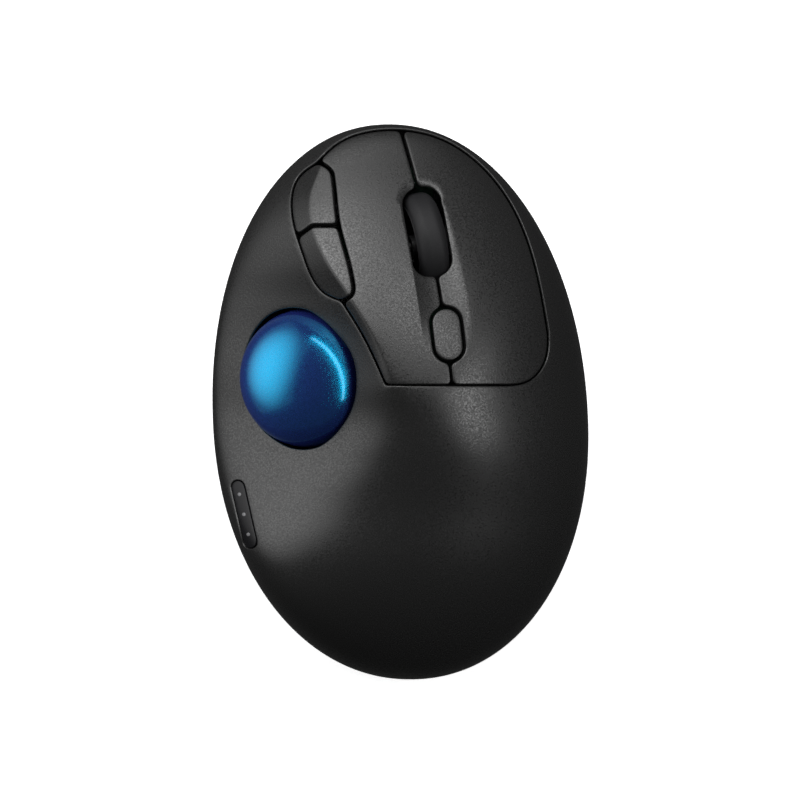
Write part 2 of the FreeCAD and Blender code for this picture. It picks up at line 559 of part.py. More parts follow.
# ---- scroll wheel ------------------------------------------------------------------------------------
def make_wheel_group():
    half = WHEEL_WIDTH / 2
    tyre = Part.makeCylinder(WHEEL_R, WHEEL_WIDTH, Vector(-half, 0, 0), Vector(1, 0, 0))
    shoulder, dish_r, dish_deep, boss_r = 2.2, 8.2, 2.0, 2.8
    tyre = tyre.makeFillet(shoulder, [e for e in tyre.Edges if e.Curve.TypeId == "Part::GeomCircle"])
    tyre = tyre.cut(rod(HUB_R, Vector(-10, 0, 0), Vector(1, 0, 0), 20))
    keep("scroll_wheel_tyre", by_wheel(tyre))
    hub_half = half - 0.3
    hub = rod(HUB_R, Vector(-hub_half, 0, 0), Vector(1, 0, 0), 2 * hub_half)
    for start in (-hub_half, hub_half - dish_deep):
        dish = rod(dish_r, Vector(start, 0, 0), Vector(1, 0, 0), dish_deep)
        hub = hub.cut(dish.cut(rod(boss_r, Vector(-4.5, 0, 0), Vector(1, 0, 0), 9)))
    hub = hub.cut(rod(AXLE_R, Vector(-10, 0, 0), Vector(1, 0, 0), 20))
    keep("scroll_wheel_hub", by_wheel(hub))
    keep("scroll_wheel_axle", by_wheel(rod(AXLE_R, Vector(-6.4, 0, 0), Vector(1, 0, 0), 16.6)))
    cradle = [box(-7.0, 10.6, -7.0, 7.0, -15.4, -13.8), box(-6.6, -5.0, -3.2, 3.2, -14, 2.0),
              box(5.0, 6.6, -3.2, 3.2, -14, 2.0), box(7.0, 10.4, -4.0, 4.0, -14, -6.6)]
    cradle = joined(cradle).cut(rod(AXLE_R + 0.1, Vector(-10, 0, 0), Vector(1, 0, 0), 20))
    keep("wheel_cradle", by_wheel(cradle))
    encoder = box(7.0, 10.4, -7.0, 2.4, -6.6, 1.8)
    encoder = encoder.cut(rod(AXLE_R + 0.15, Vector(0, 0, 0), Vector(1, 0, 0), 20))
    keep("wheel_encoder", by_wheel(encoder))
    guide = box(-9.0, 12.6, -9.0, 9.0, -26, -11).cut(box(-7.6, 11.2, -7.6, 7.6, -30, 0))
    top = BOARD_Z + BOARD_T
    keep("wheel_guide", by_wheel(guide).common(box(-FAR, FAR, -FAR, FAR, top, FAR)))
    above = WHEEL_C - WHEEL_UP * 15.4 + AXLE * 1.8
    x, y, z = above.x, above.y, above.z - 1.1
    keep("wheel_click_switch", joined([box(x - 3, x + 3, y - 3, y + 3, top, z - 0.8),
                                       post(1.6, x, y, z - 1, z)]))


# ---- boards, switches and battery --------------------------------------------------------------------
def make_boards(inner):
    top = BOARD_Z + BOARD_T
    corners = [(5, 8), (36, 8), (36, 58), (-17, 58), (-17, 50), (-9.5, 50), (-9.5, 27.5), (5, 27.5)]
    edge = Part.makePolygon([Vector(x, y, 0) for x, y in corners + corners[:1]])
    board = column(Part.Face(edge), BOARD_Z, top)
    trim = inner.copy()
    trim.scale(0.97, Vector(0, 0, top))
    board = board.common(trim)
    for x, y in BOARD_SCREWS:
        board = board.cut(post(1.1, x, y, 0, 20))
    for x, y in SPEED_POSTS:
        board = board.cut(post(2.6, x, y, 0, 20))
    keep("main_board", biggest(board))
    keep("controller_chip", box(20.5, 27.5, 31, 38, top, top + 1.0))
    keep("radio_module", box(24.0, 34.0, 18.0, 28.0, top, top + 1.8))
    long_half, short_half = 6.4, 2.9
    for name, (x, y) in SWITCHES.items():
        body = box(x - long_half, x + long_half, y - short_half, y + short_half, top, SWITCH_TOP_Z)
        body = body.makeFillet(0.4, [e for e in body.Edges if e.BoundBox.ZMin > SWITCH_TOP_Z - 0.1])
        keep(name + "_switch", body.cut(box(x - 1.1, x + 1.1, y - 1.5, y + 1.1, SWITCH_TOP_Z - 1.8, FAR)))
        plunger = box(x - 0.8, x + 0.8, y - 0.8, y + 0.8, SWITCH_TOP_Z - 0.6, PLUNGER_TOP_Z)
        keep(name + "_switch_plunger", plunger)
    small = 2.6            # half the width of the small switches
    for name in SIDE_KEYS:
        body = box(SIDE_SHIFT - small, SIDE_SHIFT + small, -small, small, SIDE_SWITCH, SIDE_BOARD)
        knob = post(1.2, SIDE_SHIFT, 0, SIDE_SWITCH - 0.7, SIDE_SWITCH + 0.2)
        keep(name + "_switch", by_side_key(body.fuse(knob), name))
    back = SIDE_KEYS["back"]
    board = box(SIDE_SHIFT - 4.5, SIDE_SHIFT + 4.5, back - 4.0, 4.0, SIDE_BOARD, SIDE_BOARD + 1.2)
    keep("side_board", by_side_key(board, "forward"))
    z = SPEED_BOARD_Z
    keep("speed_board", column(stadium(12.3, 15.9, 6.2, 9.4, 45.0), z, z + 1.2))
    body = box(SPEED_X - small, SPEED_X + small, SPEED_Y - small, SPEED_Y + small, z + 1.2, z + 4.6)
    keep("speed_switch", joined([body, post(1.4, SPEED_X, SPEED_Y, z + 4.5, z + 5.4)]))


def make_indicator(outer, inner):
    """Pill lens flush in the thumb wall, three lamps behind it and their board."""
    pill = stadium(LENS_X, LENS_Y, LENS_HALF_W - LENS_GAP, LENS_HALF_L - LENS_GAP, LENS_TURN)
    lens = column(pill, RIM_Z).common(outer).cut(inner)
    keep("indicator_lens", biggest(lens))
    turn = math.radians(LENS_TURN)
    along = Vector(-math.sin(turn), math.cos(turn), 0)
    away = Vector(math.cos(turn), math.sin(turn), 0)
    middle = Vector(LENS_X, LENS_Y, 0) + away * 4.6
    board = placed(box(0, 1.0, -8.0, 8.0, BASE_Z + FLOOR, 18.5), middle, away, along, Vector(0, 0, 1))
    keep("indicator_board", board)
    lamps = []
    for k in (-1, 0, 1):
        lamp = box(-1.1, 0, 5 * k - 1, 5 * k + 1, 15.6, 18.0)
        lamps.append(placed(lamp, middle, away, along, Vector(0, 0, 1)))
    keep("indicator_lamps", Part.makeCompound(lamps))


def make_battery_group():
    end = CELL_Y0 + CELL_LENGTH
    cell = joined([rod(CELL_R, Vector(CELL_X, CELL_Y0, CELL_Z), Vector(0, 1, 0), CELL_LENGTH - 1.2),
                   rod(2.75, Vector(CELL_X, end - 2, CELL_Z), Vector(0, 1, 0), 2)])
    keep("battery_cell", cell)
    keep("battery_plate", box(CELL_X - 4, CELL_X + 4, end + 0.02, end + 0.62, CELL_Z - 4, CELL_Z + 4))
    wire_r, coils, widest, narrower, rise = 0.35, 3, 4.2, 0.9, 0.615
    spring = [box(CELL_X - 5, CELL_X + 5, CELL_Y0 - 2.5, CELL_Y0 - 1.7, CELL_Z - 5, CELL_Z + 5)]
    for k in range(coils):
        radius, y = widest - narrower * k, CELL_Y0 - 1.75 + rise * k
        spring.append(Part.makeTorus(radius, wire_r, Vector(CELL_X, y, CELL_Z), Vector(0, 1, 0)))
        if k < coils - 1:
            bridge = Vector(-narrower, rise, 0)
            spring.append(rod(wire_r, Vector(CELL_X + radius, y, CELL_Z), bridge, bridge.Length))
    keep("battery_spring", joined(spring))
    x0, x1, y0 = 1.4, 25.0, -49.3
    door = box(x0, x1, y0, DOOR_AXIS_Y, BASE_Z + 0.1, BASE_Z + 1.7)
    door = door.fuse(rod(DOOR_HALF, Vector(x0, DOOR_AXIS_Y, DOOR_AXIS_Z), Vector(1, 0, 0), x1 - x0))
    door = door.fuse(rod(0.45, Vector(x0 - 0.9, DOOR_AXIS_Y, DOOR_AXIS_Z), Vector(1, 0, 0), x1 - x0 + 1.8))
    door = door.cut(rod(4.0, Vector((x0 + x1) / 2, y0, BASE_Z - 3.2), Vector(0, 1, 0), 6))
    for k in range(4):
        door = door.cut(box(8.2, 18.2, -40.0 + 2 * k, -39.2 + 2 * k, 0, BASE_Z + 0.45))
    keep("battery_door", biggest(door))
    body = box(2.0, 7.8, -45.6, -38.6, BASE_Z + 2.1, 17.2)
    tongue = box(2.7, 7.1, -38.7, -27.0, BASE_Z + 3.2, 15.2)
    hollow = box(3.1, 6.7, -37.9, -26.9, BASE_Z + 3.6, 14.8)
    blade = box(4.9, 6.6, -38.5, -27.6, BASE_Z + 3.7, 14.7)
    keep("usb_receiver", joined([body.makeFillet(0.8, body.Edges), tongue.cut(hollow), blade]))


def main():
    os.makedirs(PARTS, exist_ok=True)
    outer = skin(0.0, BASE_Z)
    inner = skin(WALL, BASE_Z + FLOOR)
    make_top_shell(outer, inner)
    make_bottom_shell(outer, inner)
    make_keys(outer, inner)
    make_speed_key(outer)
    make_ball_group(inner)
    make_sensor_cable()
    make_wheel_group()
    make_boards(inner)
    make_indicator(outer, inner)
    make_battery_group()
    make_controls_below()
    make_feet_and_screws()
    for name, shape in sorted(NODES.items()):
        shape.exportStep(os.path.join(PARTS, name + ".step"))
        print(f"{name:24s} {len(shape.Solids)} solid(s) {shape.Volume:10.1f} mm3 valid {shape.isValid()}")
    print(len(NODES), "nodes")


main()
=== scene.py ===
"""Looks of a wireless thumb trackball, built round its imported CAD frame.

The visible skins follow the explicit height formula of the CAD casing, with a crisper crest, a rounder
channel, a closer ball opening and a rounder key corner. Each skin is a thin closed plate with rounded
edges. Lengths inside the shape code are millimetres; meshes are made in metres.
"""

import json
import math

import bpy
import numpy as np
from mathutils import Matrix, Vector
from mathutils.geometry import delaunay_2d_cdt

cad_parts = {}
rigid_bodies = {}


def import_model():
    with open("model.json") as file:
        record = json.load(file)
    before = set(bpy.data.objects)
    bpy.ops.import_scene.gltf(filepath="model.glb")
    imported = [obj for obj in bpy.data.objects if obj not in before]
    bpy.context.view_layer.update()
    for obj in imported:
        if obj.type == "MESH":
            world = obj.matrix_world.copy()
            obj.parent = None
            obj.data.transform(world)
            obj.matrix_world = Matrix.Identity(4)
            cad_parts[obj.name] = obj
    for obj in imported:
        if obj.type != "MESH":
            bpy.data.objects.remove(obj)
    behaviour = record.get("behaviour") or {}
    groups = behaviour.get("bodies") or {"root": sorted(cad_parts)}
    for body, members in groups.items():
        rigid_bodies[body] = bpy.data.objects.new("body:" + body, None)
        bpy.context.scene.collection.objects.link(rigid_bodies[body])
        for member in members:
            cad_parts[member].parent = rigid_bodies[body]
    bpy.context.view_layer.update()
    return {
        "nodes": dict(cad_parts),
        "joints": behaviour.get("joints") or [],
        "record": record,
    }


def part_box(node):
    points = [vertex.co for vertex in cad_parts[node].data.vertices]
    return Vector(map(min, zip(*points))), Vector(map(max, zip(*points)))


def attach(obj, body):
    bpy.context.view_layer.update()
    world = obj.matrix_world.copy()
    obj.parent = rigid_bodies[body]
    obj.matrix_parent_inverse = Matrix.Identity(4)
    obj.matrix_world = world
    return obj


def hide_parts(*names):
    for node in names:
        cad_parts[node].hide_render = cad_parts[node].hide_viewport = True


for default in list(bpy.data.objects):
    bpy.data.objects.remove(default)
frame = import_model()

MM = 0.001

# ---- the casing's surface, in millimetres ------------------------------------------------------------
HALF_WIDTH, FRONT_LENGTH, REAR_LENGTH, WIDEST_Y = 46.0, 72.4, 63.6, -4.4
EGG_POWER, SKEW = 2.08, 0.038
RIM_Z, BASE_Z, TUCK = 11.0, 0.8, 5.0
CROWN_Z, CROWN_Y, FRONT_FALL, REAR_FALL = 50.0, -14.0, 0.0038, 0.004
SIDE_LEAN, SIDE_FALL = 0.16, 0.004
SIDE_POWER, END_POWER, THUMB_POWER = 2.6, 5.0, 3.4
THUMB_FALL, THUMB_REACH = 52.0, 50.0
SPLIT_START, SPLIT_SLOPE, SPLIT_BEND = 13.0, -0.085, -0.00163
CHANNEL_FRONT_Y, CHANNEL_HALF, CHANNEL_FLARE, CHANNEL_DEEPEST = 48.8, 5.25, 0.02, 1.25
CHANNEL_FADE_Y, CHANNEL_FADE = 10, 18
PARTING_Z = 7.0
SUMMIT = np.array([8.0, -22.0])


def through(points):
    """A smooth function of one value through (value, result) points."""
    xs, ys = np.array(sorted(points), float).T
    steps = np.diff(ys) / np.diff(xs)
    slopes = np.concatenate([steps[:1], (steps[:-1] + steps[1:]) / 2, steps[-1:]])

    def value(x):
        x = np.clip(x, xs[0], xs[-1])
        i = np.clip(np.searchsorted(xs, x, side="right") - 1, 0, len(xs) - 2)
        h = xs[i + 1] - xs[i]
        t = (x - xs[i]) / h
        ends = ys[i] * (1 + 2 * t) * (1 - t) ** 2 + ys[i + 1] * t * t * (3 - 2 * t)
        return ends + h * (slopes[i] * t * (1 - t) ** 2 - slopes[i + 1] * t * t * (1 - t))

    return value


crest_x = through([(68, -17), (57.5, -19.6), (50, -22), (42, -21.3), (34, -17.9), (25, -12.1), (15, -6.3),
                   (5, -2.5), (-5, -0.8), (-13, -2.8), (-22, -7.5), (-36, -14), (-66, -26)])
crest_blend = through([(68, 0.12), (26, 0.14), (14, 0.3), (4, 0.9), (-2, 2.6), (-12, 6), (-30, 14),
                       (-66, 25)])
crest_share = through([(68, 1), (10, 1), (-4, 1), (-20, 0.9), (-40, 0.45), (-66, 0.1)])


def smoothstep(t):
    t = np.clip(t, 0, 1)
    return t * t * (3 - 2 * t)


def split_x(y):
    """Where the two keys meet, and the middle of the wheel's channel."""
    return SPLIT_START + SPLIT_SLOPE * y + SPLIT_BEND * y * y


def channel_share(x, y):
    """0 along the middle of the channel round the wheel and the speed key, and 1 on its edges."""
    ahead = np.hypot(x - split_x(CHANNEL_FRONT_Y), y - CHANNEL_FRONT_Y) / CHANNEL_HALF
    beside = np.abs(x - split_x(y)) / (CHANNEL_HALF + CHANNEL_FLARE * (CHANNEL_FRONT_Y - y))
    return np.where(y > CHANNEL_FRONT_Y, ahead, beside)


def channel_depth(y):
    """Depth of the channel along its middle. It fades towards the palm."""
    return CHANNEL_DEEPEST * smoothstep((y - CHANNEL_FADE_Y) / CHANNEL_FADE)


def channel(x, y):
    """Depth of that channel, a shallow round trough with crisp edges."""
    return channel_depth(y) * np.maximum(0, 1 - channel_share(x, y) ** 2)


def egg_share(x, y):
    """0 at the middle of the outline's widest line and 1 on the outline."""
    v = y - WIDEST_Y
    across = (x + SKEW * v) / HALF_WIDTH
    along = v / np.where(v > 0, FRONT_LENGTH, REAR_LENGTH)
    share = (np.abs(across) ** EGG_POWER + np.abs(along) ** EGG_POWER) ** (1 / EGG_POWER)
    return share, across, along


def casing_z(x, y, smoother=0.0, carved=True):
    """Height of the casing's skin. A smoother crest and no channel serve the plates' inner faces."""
    share, across, along = egg_share(x, y)
    size = np.maximum(np.hypot(across, along), 1e-9)
    power = SIDE_POWER + END_POWER * np.maximum(0, along / size) ** 2 \
        + THUMB_POWER * np.maximum(0, -across / size) ** 2
    away = crest_x(y) - x
    ramp = (away + np.sqrt(away * away + 4 * (crest_blend(y) + smoother) ** 2)) / 2
    ahead = y - CROWN_Y
    fall = np.where(ahead > 0, FRONT_FALL, REAR_FALL) * ahead * ahead
    top = CROWN_Z - fall - SIDE_LEAN * x - SIDE_FALL * x * x
    top = top - THUMB_FALL * (1 - np.exp(-ramp / THUMB_REACH)) * crest_share(y)
    z = RIM_Z + (top - RIM_Z) * np.maximum(0, 1 - np.minimum(share, 1) ** power) ** (1 / power)
    return z - channel(x, y) if carved else z


def rim_points(angles):
    c, s = np.cos(angles), np.sin(angles)
    v = np.sign(s) * np.abs(s) ** (2 / EGG_POWER) * np.where(s > 0, FRONT_LENGTH, REAR_LENGTH)
    x = np.sign(c) * np.abs(c) ** (2 / EGG_POWER) * HALF_WIDTH - SKEW * v
    return np.stack([x, v + WIDEST_Y], 1)


def normals(x, y, smoother=0.0, carved=True):
    """Unit normals of the skin, pointing out. On the outline itself the skin is upright."""
    d = 0.02
    pull = np.minimum(1, (1 - 2 * d / HALF_WIDTH) / np.maximum(egg_share(x, y)[0], 1e-9))
    x, y = SUMMIT[0] + (x - SUMMIT[0]) * pull, SUMMIT[1] + (y - SUMMIT[1]) * pull
    dx = (casing_z(x + d, y, smoother, carved) - casing_z(x - d, y, smoother, carved)) / (2 * d)
    dy = (casing_z(x, y + d, smoother, carved) - casing_z(x, y - d, smoother, carved)) / (2 * d)
    n = np.stack([-dx, -dy, np.ones_like(dx)], 1)
    return n / np.linalg.norm(n, axis=1, keepdims=True)


# ---- flat outlines as fields: negative inside, in millimetres ----------------------------------------
def curve(points, step=0.5):
    """Points along the natural cubic spline through a few points; two points are a straight line."""
    p = np.array(points, float)
    gaps = np.linalg.norm(np.diff(p, axis=0), axis=1)
    t = np.concatenate([[0], np.cumsum(gaps)])
    at = np.linspace(0, t[-1], max(2, int(t[-1] / step) + 1))
    if len(p) == 2:
        return p[0] + (p[1] - p[0]) * (at / t[-1])[:, None]
    n = len(p)
    system, right = np.eye(n), np.zeros((n, 2))
    for i in range(1, n - 1):
        system[i, i - 1:i + 2] = gaps[i - 1], 2 * (gaps[i - 1] + gaps[i]), gaps[i]
        right[i] = 6 * ((p[i + 1] - p[i]) / gaps[i] - (p[i] - p[i - 1]) / gaps[i - 1])
    bend = np.linalg.solve(system, right)
    i = np.clip(np.searchsorted(t, at, side="right") - 1, 0, n - 2)
    h = gaps[i][:, None]
    a, b = (t[i + 1] - at)[:, None], (at - t[i])[:, None]
    return (bend[i] * a ** 3 + bend[i + 1] * b ** 3) / (6 * h) + (p[i] / h - bend[i] * h / 6) * a \
        + (p[i + 1] / h - bend[i + 1] * h / 6) * b


def outline(runs):
    return np.concatenate([curve(run)[:-1] for run in runs])


def loop_field(loop):
    """Signed distance from a closed loop."""
    starts, ends = loop, np.roll(loop, -1, axis=0)

    def field(x, y):
        near = np.full(x.shape, 1e9)
        inside = np.zeros(x.shape, bool)
        for (ax, ay), (bx, by) in zip(starts, ends):
            ex, ey = bx - ax, by - ay
            t = np.clip(((x - ax) * ex + (y - ay) * ey) / (ex * ex + ey * ey), 0, 1)
            near = np.minimum(near, (x - ax - t * ex) ** 2 + (y - ay - t * ey) ** 2)
            if ay != by:
                crosses = ((ay > y) != (by > y)) & (x < ex * (y - ay) / ey + ax)
                inside ^= crosses
        return np.where(inside, -1, 1) * np.sqrt(near)

    return field


def slot_field(cx, cy, half_width, half_length, radius, turn, bow=0.0):
    """A rounded rectangle, its long way along Y, turned left by turn degrees, its sides bowed out."""
    c, s = math.cos(math.radians(turn)), math.sin(math.radians(turn))

    def field(x, y):
        along = (y - cy) * c - (x - cx) * s
        half = half_width + bow * (1 - (along / half_length) ** 2)
        u = np.abs((x - cx) * c + (y - cy) * s) - half + radius
        v = np.abs(along) - half_length + radius
        return np.hypot(np.maximum(u, 0), np.maximum(v, 0)) + np.minimum(np.maximum(u, v), 0) - radius

    return field


def both(a, b, soft=0.3):
    """Inside both fields, with the corner between them rounded."""
    return np.maximum(a, b) + np.maximum(soft - np.abs(a - b), 0) ** 2 / (4 * soft)


def contours(field, level, low, high, step):
    """Closed loops where the field has that level, by walking the squares of a grid."""
    xs, ys = np.arange(low[0], high[0] + step, step), np.arange(low[1], high[1] + step, step)
    gx, gy = np.meshgrid(xs, ys, indexing="ij")
    f = field(gx, gy) - level
    f[f == 0] = 1e-9
    inside = f < 0
    links = {}

    def crossing(a, b):
        t = f[a] / (f[a] - f[b])
        return (gx[a] + t * (gx[b] - gx[a]), gy[a] + t * (gy[b] - gy[a]))

    mixed = inside[:-1, :-1].astype(int) + inside[1:, :-1] + inside[1:, 1:] + inside[:-1, 1:]
    for i, j in zip(*np.nonzero((mixed > 0) & (mixed < 4))):
        corners = [(i, j), (i + 1, j), (i + 1, j + 1), (i, j + 1)]
        out, back = [], []
        for k in range(4):
            a, b = corners[k], corners[(k + 1) % 4]
            if inside[a] != inside[b]:
                (out if inside[a] else back).append((min(a, b), max(a, b)))
        for start, end in zip(out, back):
            links[start] = end
    loops = []
    while links:
        first = next(iter(links))
        loop, at = [], first
        while at in links:
            loop.append(crossing(*at))
            at = links.pop(at)
        loops.append(np.array(loop))
    return [p for p in loops if len(p) > 8]


def even(loop, step):
    """The same closed loop with even spacing."""
    closed = np.vstack([loop, loop[:1]])
    t = np.concatenate([[0], np.cumsum(np.linalg.norm(np.diff(closed, axis=0), axis=1))])
    at = np.linspace(0, t[-1], max(8, int(round(t[-1] / step))) + 1)[:-1]
    return np.stack([np.interp(at, t, closed[:, 0]), np.interp(at, t, closed[:, 1])], 1)


def relaxed(loop, rounds=3):
    for _ in range(rounds):
        loop = (np.roll(loop, 1, 0) + 2 * loop + np.roll(loop, -1, 0)) / 4
    return loop


def outward(loop, field):
    """Flat unit normals of a loop, pointing to where the field grows."""
    d = 0.05
    x, y = loop.T
    n = np.stack([field(x + d, y) - field(x - d, y), field(x, y + d) - field(x, y - d)], 1)
    n = (np.roll(n, 1, 0) + 2 * n + np.roll(n, -1, 0)) / 4
    return n / np.linalg.norm(n, axis=1, keepdims=True)


REAR_SEAM_Y = 3.9
NOSE_RUN = [(-20.6, 58.4), (-14.8, 63.7), (-7.9, 66.2), (0, 66.7), (9, 64.9), (18.4, 59.2), (27.8, 47.3),
            (33.4, 31.8), (36.2, 16.8)]
HEEL_CORNER = [(36.2, 16.8), (35.9, 11.4), (33.8, 7.0), (30.9, 4.7), (27.1, REAR_SEAM_Y)]
THUMB_SEAM = [(-3.8, REAR_SEAM_Y), (-9.6, 16.3), (-14.6, 24.4)]
SIDE_RUN = [(-14.6, 24.4), (-18.2, 25.9), (-24, 35.9), (-26.8, 47.9), (-25.1, 54.8), (-20.6, 58.4)]
SIDE_NOSE_RUN = [(-20.6, 58.4), (-18.3, 57.6), (-16.7, 56.0)]
SIDE_INNER_RUN = [(-16.7, 56.0), (-16.2, 52.2), (-15.1, 43.2), (-13.3, 36.3), (-12.1, 31.6), (-11.5, 28.4)]
SIDE_HEEL_RUN = [(-11.5, 28.4), (-11.6, 26.5), (-12.8, 25.2), (-14.6, 24.4)]
REAR_SEAM = [HEEL_CORNER[-1], THUMB_SEAM[0]]
key_field = loop_field(outline([NOSE_RUN, HEEL_CORNER, REAR_SEAM, THUMB_SEAM, SIDE_RUN]))
side_field = loop_field(outline([SIDE_RUN, SIDE_NOSE_RUN, SIDE_INNER_RUN, SIDE_HEEL_RUN]))
slot_hole = slot_field(6.4, 41.4, 4.6, 10.9, 3.9, 10.0)
SPEED_X = 11.5
speed_field = slot_field(SPEED_X, 16.4, 3.3, 6.3, 3.29, 6.8, 0.06)
LENS_X, LENS_Y, LENS_TURN = -38.2, -27.4, 13.0
lens_field = slot_field(LENS_X, LENS_Y, 1.7, 8.6, 1.69, LENS_TURN)
SIDE_CUT_X, SIDE_CUT_Y, SIDE_CUT_SLOPE = -21.4, 42.9, 0.72


def split_field(x, y):
    """Signed distance from the line between the keys, positive to the right."""
    slope = SPLIT_SLOPE + 2 * SPLIT_BEND * y
    return (x - split_x(y)) / np.sqrt(1 + slope * slope)


def node_centre(name):
    low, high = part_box(name)
    return (low + high) / 2 / MM


BALL_C = node_centre("trackball")
BALL_OPENING = [(11.3, 0), (11.6, 30), (12.7, 61), (14.6, 79), (16.3, 91), (17.7, 107), (18.2, 121),
                (17.8, 137), (17.0, 155), (16.6, 180), (16.4, 200), (16.9, 222), (17.2, 239),
                (17.6, 257), (16.9, 277), (15.4, 291), (13.9, 306), (12.8, 322), (11.8, 341)]


def round_loop(spots, centre):
    """A smooth closed loop through (radius, degrees) points round a centre."""
    radius, turn = np.array(spots, float).T
    turn, radius = np.radians(np.tile(turn, 3) + np.repeat([-360, 0, 360], len(turn))), np.tile(radius, 3)
    angles = np.radians(np.arange(0, 360, 2.0))
    reach = through(zip(turn, radius))(angles)
    return np.stack([centre[0] + reach * np.cos(angles), centre[1] + reach * np.sin(angles)], 1)


ball_field = loop_field(round_loop(BALL_OPENING, BALL_C))


# ---- meshes ------------------------------------------------------------------------------------------
PIECES = []
SHARP_ANGLE = math.radians(40)
ROUND_STEPS = [math.radians(a) for a in (22.5, 45, 67.5, 90)]
CREST_ROWS = np.array([-1.5, -1.0, -0.65, -0.38, -0.18, 0, 0.18, 0.38, 0.65, 1.0, 1.5])
PLATE_STEP, ROW_STEP, CHANNEL_STEP, CONTOUR_STEP = 0.55, 0.45, 0.3, 0.22
CHANNEL_START_Y = 8
CORE_SMOOTHER = 5.0  # a plate's inner face follows a crest that is rounder by this much
BEVEL_SHARE = 1.6    # of its radius, what a rounded edge takes from the side wall below it
LEAST_THICK = 0.3    # of a plate's thickness, what is left right beside a neighbour
THIN_FROM, THIN_REACH = -0.9, 4.5  # how near a neighbour a plate would thin to nothing, and over what way


def make_mesh(name, points, faces, body, slot, replaced=()):
    """A piece from points in millimetres."""
    mesh = bpy.data.meshes.new(name)
    corners = [tuple(p) for p in np.asarray(points) * MM]
    mesh.from_pydata(corners, [], [tuple(int(i) for i in f) for f in faces])
    mesh.validate()
    mesh.shade_smooth()
    mesh.set_sharp_from_angle(angle=SHARP_ANGLE)
    piece = bpy.data.objects.new(name, mesh)
    bpy.context.scene.collection.objects.link(piece)
    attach(piece, body)
    if replaced:
        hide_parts(*replaced)
    PIECES.append((piece, slot))
    return piece


def within(loops, x, y):
    """True inside the first loop and outside the loops in it."""
    inside = np.zeros(x.shape, bool)
    for loop in loops:
        for (ax, ay), (bx, by) in zip(loop, np.roll(loop, -1, axis=0)):
            if ay != by:
                inside ^= ((ay > y) != (by > y)) & (x < (bx - ax) * (y - ay) / (by - ay) + ax)
    return inside


def fill(loops, inner):
    """Triangles between flat loops, through inner points."""
    points = [Vector(p) for loop in loops for p in loop] + [Vector(p) for p in inner]
    edges, start = [], 0
    for loop in loops:
        n = len(loop)
        edges += [(start + i, start + (i + 1) % n) for i in range(n)]
        start += n
    out, _, faces, origin, _, _ = delaunay_2d_cdt(points, edges, [], 0, 1e-7)
    flat = np.array([tuple(p) for p in out])
    index = np.arange(len(out))
    for k, source in enumerate(origin):
        if source:
            index[k] = source[0]
    faces = np.array(faces)
    middles = flat[faces].mean(1)
    faces = index[faces[within(loops, middles[:, 0], middles[:, 1])]]
    base = np.array([tuple(p) for p in points])
    a, b, c = (base[faces[:, k]] for k in range(3))
    turn = (b[:, 0] - a[:, 0]) * (c[:, 1] - a[:, 1]) - (b[:, 1] - a[:, 1]) * (c[:, 0] - a[:, 0])
    faces[turn < 0] = faces[turn < 0][:, ::-1]
    return base, faces[turn != 0]


def staggered(low, high, step):
    """Points of a grid whose rows are shifted by half a step."""
    gx, gy = np.meshgrid(np.arange(low[0], high[0], step), np.arange(low[1], high[1], step), indexing="ij")
    gx = gx + (np.arange(gx.shape[1]) % 2) * step / 2
    return np.stack([gx.ravel(), gy.ravel()], 1)


def with_crest(inner, y0, y1):
    """Swaps the points near the crest for rows that run along it, so that its bend stays crisp."""
    reach = CREST_ROWS.max() + 0.45 * PLATE_STEP
    near = (inner[:, 1] > y0) & (inner[:, 1] < y1) & (np.abs(inner[:, 0] - crest_x(inner[:, 1])) < reach)
    y = np.arange(y0, y1, ROW_STEP)
    rows = [np.stack([crest_x(y) + offset, y], 1) for offset in CREST_ROWS]
    return np.concatenate([inner[~near]] + rows)


def with_flank(inner, low, high):
    """Swaps the points near the channel's edge for rows along it, and those in it for a finer grid."""
    def share(spots):
        return channel_share(*spots.T)

    fine = staggered(low, high, CHANNEL_STEP)
    fine = fine[(share(fine) < 0.93) & (fine[:, 1] > CHANNEL_START_Y)]
    inner = inner[(share(inner) > 1.08) | (inner[:, 1] <= CHANNEL_START_Y)]
    corner, rows = (low[0], CHANNEL_START_Y), []
    for level in (0.965, 1.0, 1.035):
        for loop in contours(channel_share, level, corner, high, CHANNEL_STEP):
            loop = even(loop, 0.4)
            rows.append(loop[loop[:, 1] > 8.4])
    return np.concatenate([inner, fine] + rows)


def thinned(thick, away):
    """A plate's thickness, which falls towards a neighbour that lies that far away."""
    return thick * np.clip((away - THIN_FROM) / THIN_REACH, LEAST_THICK, 1)


def plate(name, field, low, high, body, slot, replaced, thick=2.0, bevel=0.35, step=PLATE_STEP,
          height=casing_z, crest=None, flank=False):
    """A closed plate of the casing's skin over the field's inside, with rounded edges."""
    loops = [relaxed(even(loop, 0.38)) for loop in contours(field, -bevel, low, high, CONTOUR_STEP)]
    inner = staggered(low, high, step)
    if crest:
        inner = with_crest(inner, *crest)
    if flank:
        inner = with_flank(inner, low, high)
    inner = inner[field(inner[:, 0], inner[:, 1]) < -bevel - 0.22]
    base, faces = fill(loops, inner)
    x, y = base.T
    top = np.stack([x, y, height(x, y)], 1)
    lean = normals(x, y, CORE_SMOOTHER, False)
    thick = thinned(thick, slot_hole(x, y))
    under = top - lean * thick[:, None]
    edges, start = [], 0
    for loop in loops:
        ids = np.arange(start, start + len(loop))
        start += len(loop)
        wall = thick[ids] - BEVEL_SHARE * bevel
        edges.append((ids, edge_rows(top, lean, loop, ids, field, bevel, wall)))
    return closed(name, top, under, faces, edges, body, slot, replaced)


